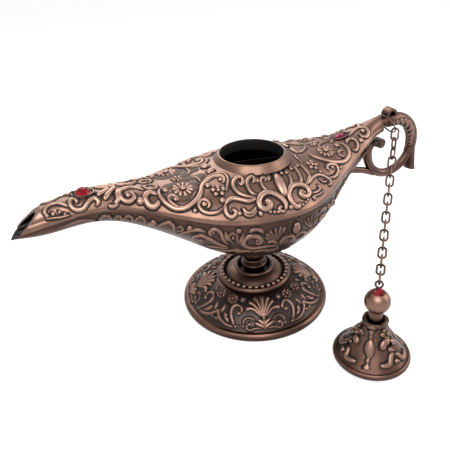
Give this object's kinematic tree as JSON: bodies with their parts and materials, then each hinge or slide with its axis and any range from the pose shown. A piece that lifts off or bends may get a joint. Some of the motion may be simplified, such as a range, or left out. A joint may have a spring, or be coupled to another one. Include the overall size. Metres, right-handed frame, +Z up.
{
  "type": "genie oil lamp",
  "caption": "Cast copper-coloured genie oil lamp with a long spout, looped handle, domed foot and a lid on a chain.",
  "frame": {"origin": "middle of the foot's rim, on the table", "axes": "+Z up, the spout points to -X and the handle to +X, the lid stands on the -Y side"},
  "size_m": [0.2313, 0.1325, 0.0953],
  "materials": {
    "cast_copper": "antique copper plate, satin",
    "chain_wire": "antique copper plate, dull",
    "red_stone": "polished acrylic stone",
    "purple_stone": "polished acrylic stone",
    "screw_steel": "zinc plated"
  },
  "bodies": {
    "lamp": {"upper_shell": "cast_copper", "upper_reliefs": "cast_copper", "lower_shell": "cast_copper", "lower_reliefs": "cast_copper", "foot": "cast_copper", "stem": "cast_copper", "foot_screw": "screw_steel", "foot_washer": "screw_steel", "handle": "cast_copper", "spout_gem": "red_stone", "tail_gem": "purple_stone"},
    "hook_ring": {"hook_ring": "chain_wire"},
    "link_01": {"link_01": "chain_wire"},
    "link_02": {"link_02": "chain_wire"},
    "link_03": {"link_03": "chain_wire"},
    "link_04": {"link_04": "chain_wire"},
    "link_05": {"link_05": "chain_wire"},
    "link_06": {"link_06": "chain_wire"},
    "link_07": {"link_07": "chain_wire"},
    "link_08": {"link_08": "chain_wire"},
    "link_09": {"link_09": "chain_wire"},
    "link_10": {"link_10": "chain_wire"},
    "link_11": {"link_11": "chain_wire"},
    "link_12": {"link_12": "chain_wire"},
    "link_13": {"link_13": "chain_wire"},
    "link_14": {"link_14": "chain_wire"},
    "link_15": {"link_15": "chain_wire"},
    "link_16": {"link_16": "chain_wire"},
    "link_17": {"link_17": "chain_wire"},
    "lid": {"lid_shell": "cast_copper", "knob_ball": "cast_copper", "knob_gem": "red_stone", "knob_screw": "screw_steel", "chain_eye": "chain_wire"}
  },
  "joints": [
    {"name": "ring_swing", "type": "hinge", "parent": "lamp", "child": "hook_ring", "pos_m": [0.0854, 0, 0.0879], "axis": [1, 0, 0], "range_deg": [-15, 3]},
    {"name": "link_01_swing", "type": "hinge", "parent": "hook_ring", "child": "link_01", "pos_m": [0.08761, -0.00723, 0.08436], "axis": [0.4589, 0.5, -0.7344], "range_deg": [-20, 8]},
    {"name": "link_02_swing", "type": "hinge", "parent": "link_01", "child": "link_02", "pos_m": [0.08475, -0.01019, 0.08032], "axis": [-0.7188, 0.6952, 0], "range_deg": [-3, 15]},
    {"name": "link_03_swing", "type": "hinge", "parent": "link_02", "child": "link_03", "pos_m": [0.08185, -0.01319, 0.07648], "axis": [0.7688, 0.0758, -0.6349], "range_deg": [-20, 4]},
    {"name": "link_04_swing", "type": "hinge", "parent": "link_03", "child": "link_04", "pos_m": [0.07888, -0.01626, 0.07276], "axis": [0.0369, 0.7574, -0.6519], "range_deg": [-4, 15]},
    {"name": "link_05_swing", "type": "hinge", "parent": "link_04", "child": "link_05", "pos_m": [0.07582, -0.01942, 0.06918], "axis": [-0.7188, 0.6952, 0], "range_deg": [-3, 15]},
    {"name": "link_06_swing", "type": "hinge", "parent": "link_05", "child": "link_06", "pos_m": [0.07269, -0.02266, 0.06575], "axis": [0.4237, 0.4381, -0.7929], "range_deg": [-20, 10]},
    {"name": "link_07_swing", "type": "hinge", "parent": "link_06", "child": "link_07", "pos_m": [0.06948, -0.02598, 0.06247], "axis": [-0.7188, 0.6952, 0], "range_deg": [-4, 15]},
    {"name": "link_08_swing", "type": "hinge", "parent": "link_07", "child": "link_08", "pos_m": [0.06618, -0.02939, 0.05936], "axis": [-0.384, -0.3971, 0.8336], "range_deg": [-12, 20]},
    {"name": "link_09_swing", "type": "hinge", "parent": "link_08", "child": "link_09", "pos_m": [0.06281, -0.03288, 0.05643], "axis": [-0.7188, 0.6952, 0], "range_deg": [-5, 15]},
    {"name": "link_10_swing", "type": "hinge", "parent": "link_09", "child": "link_10", "pos_m": [0.05936, -0.03645, 0.05369], "axis": [0.3382, 0.3497, -0.8737], "range_deg": [-20, 14]},
    {"name": "link_11_swing", "type": "hinge", "parent": "link_10", "child": "link_11", "pos_m": [0.05583, -0.04009, 0.05117], "axis": [0.7188, -0.6952, 0], "range_deg": [-15, 5]},
    {"name": "link_12_swing", "type": "hinge", "parent": "link_11", "child": "link_12", "pos_m": [0.05223, -0.04382, 0.04887], "axis": [-0.2857, -0.2954, 0.9117], "range_deg": [-18, 20]},
    {"name": "link_13_swing", "type": "hinge", "parent": "link_12", "child": "link_13", "pos_m": [0.04856, -0.04761, 0.0468], "axis": [-0.7188, 0.6952, 0], "range_deg": [-6, 15]},
    {"name": "link_14_swing", "type": "hinge", "parent": "link_13", "child": "link_14", "pos_m": [0.04483, -0.05147, 0.04498], "axis": [0.2266, 0.2343, -0.9454], "range_deg": [-20, 20]},
    {"name": "link_15_swing", "type": "hinge", "parent": "link_14", "child": "link_15", "pos_m": [0.04104, -0.05539, 0.04342], "axis": [0.7188, -0.6952, 0], "range_deg": [-15, 6]},
    {"name": "link_16_swing", "type": "hinge", "parent": "link_15", "child": "link_16", "pos_m": [0.0372, -0.05935, 0.04214], "axis": [-0.1615, -0.167, 0.9726], "range_deg": [-20, 20]},
    {"name": "link_17_swing", "type": "hinge", "parent": "link_16", "child": "link_17", "pos_m": [0.03333, -0.06336, 0.04114], "axis": [-0.7188, 0.6952, 0], "range_deg": [-8, 15]},
    {"name": "lid_swing", "type": "hinge", "parent": "link_17", "child": "lid", "pos_m": [0.03034, -0.06645, 0.0406], "axis": [0.7188, -0.6952, 0], "range_deg": [-25, 6]}
  ]
}
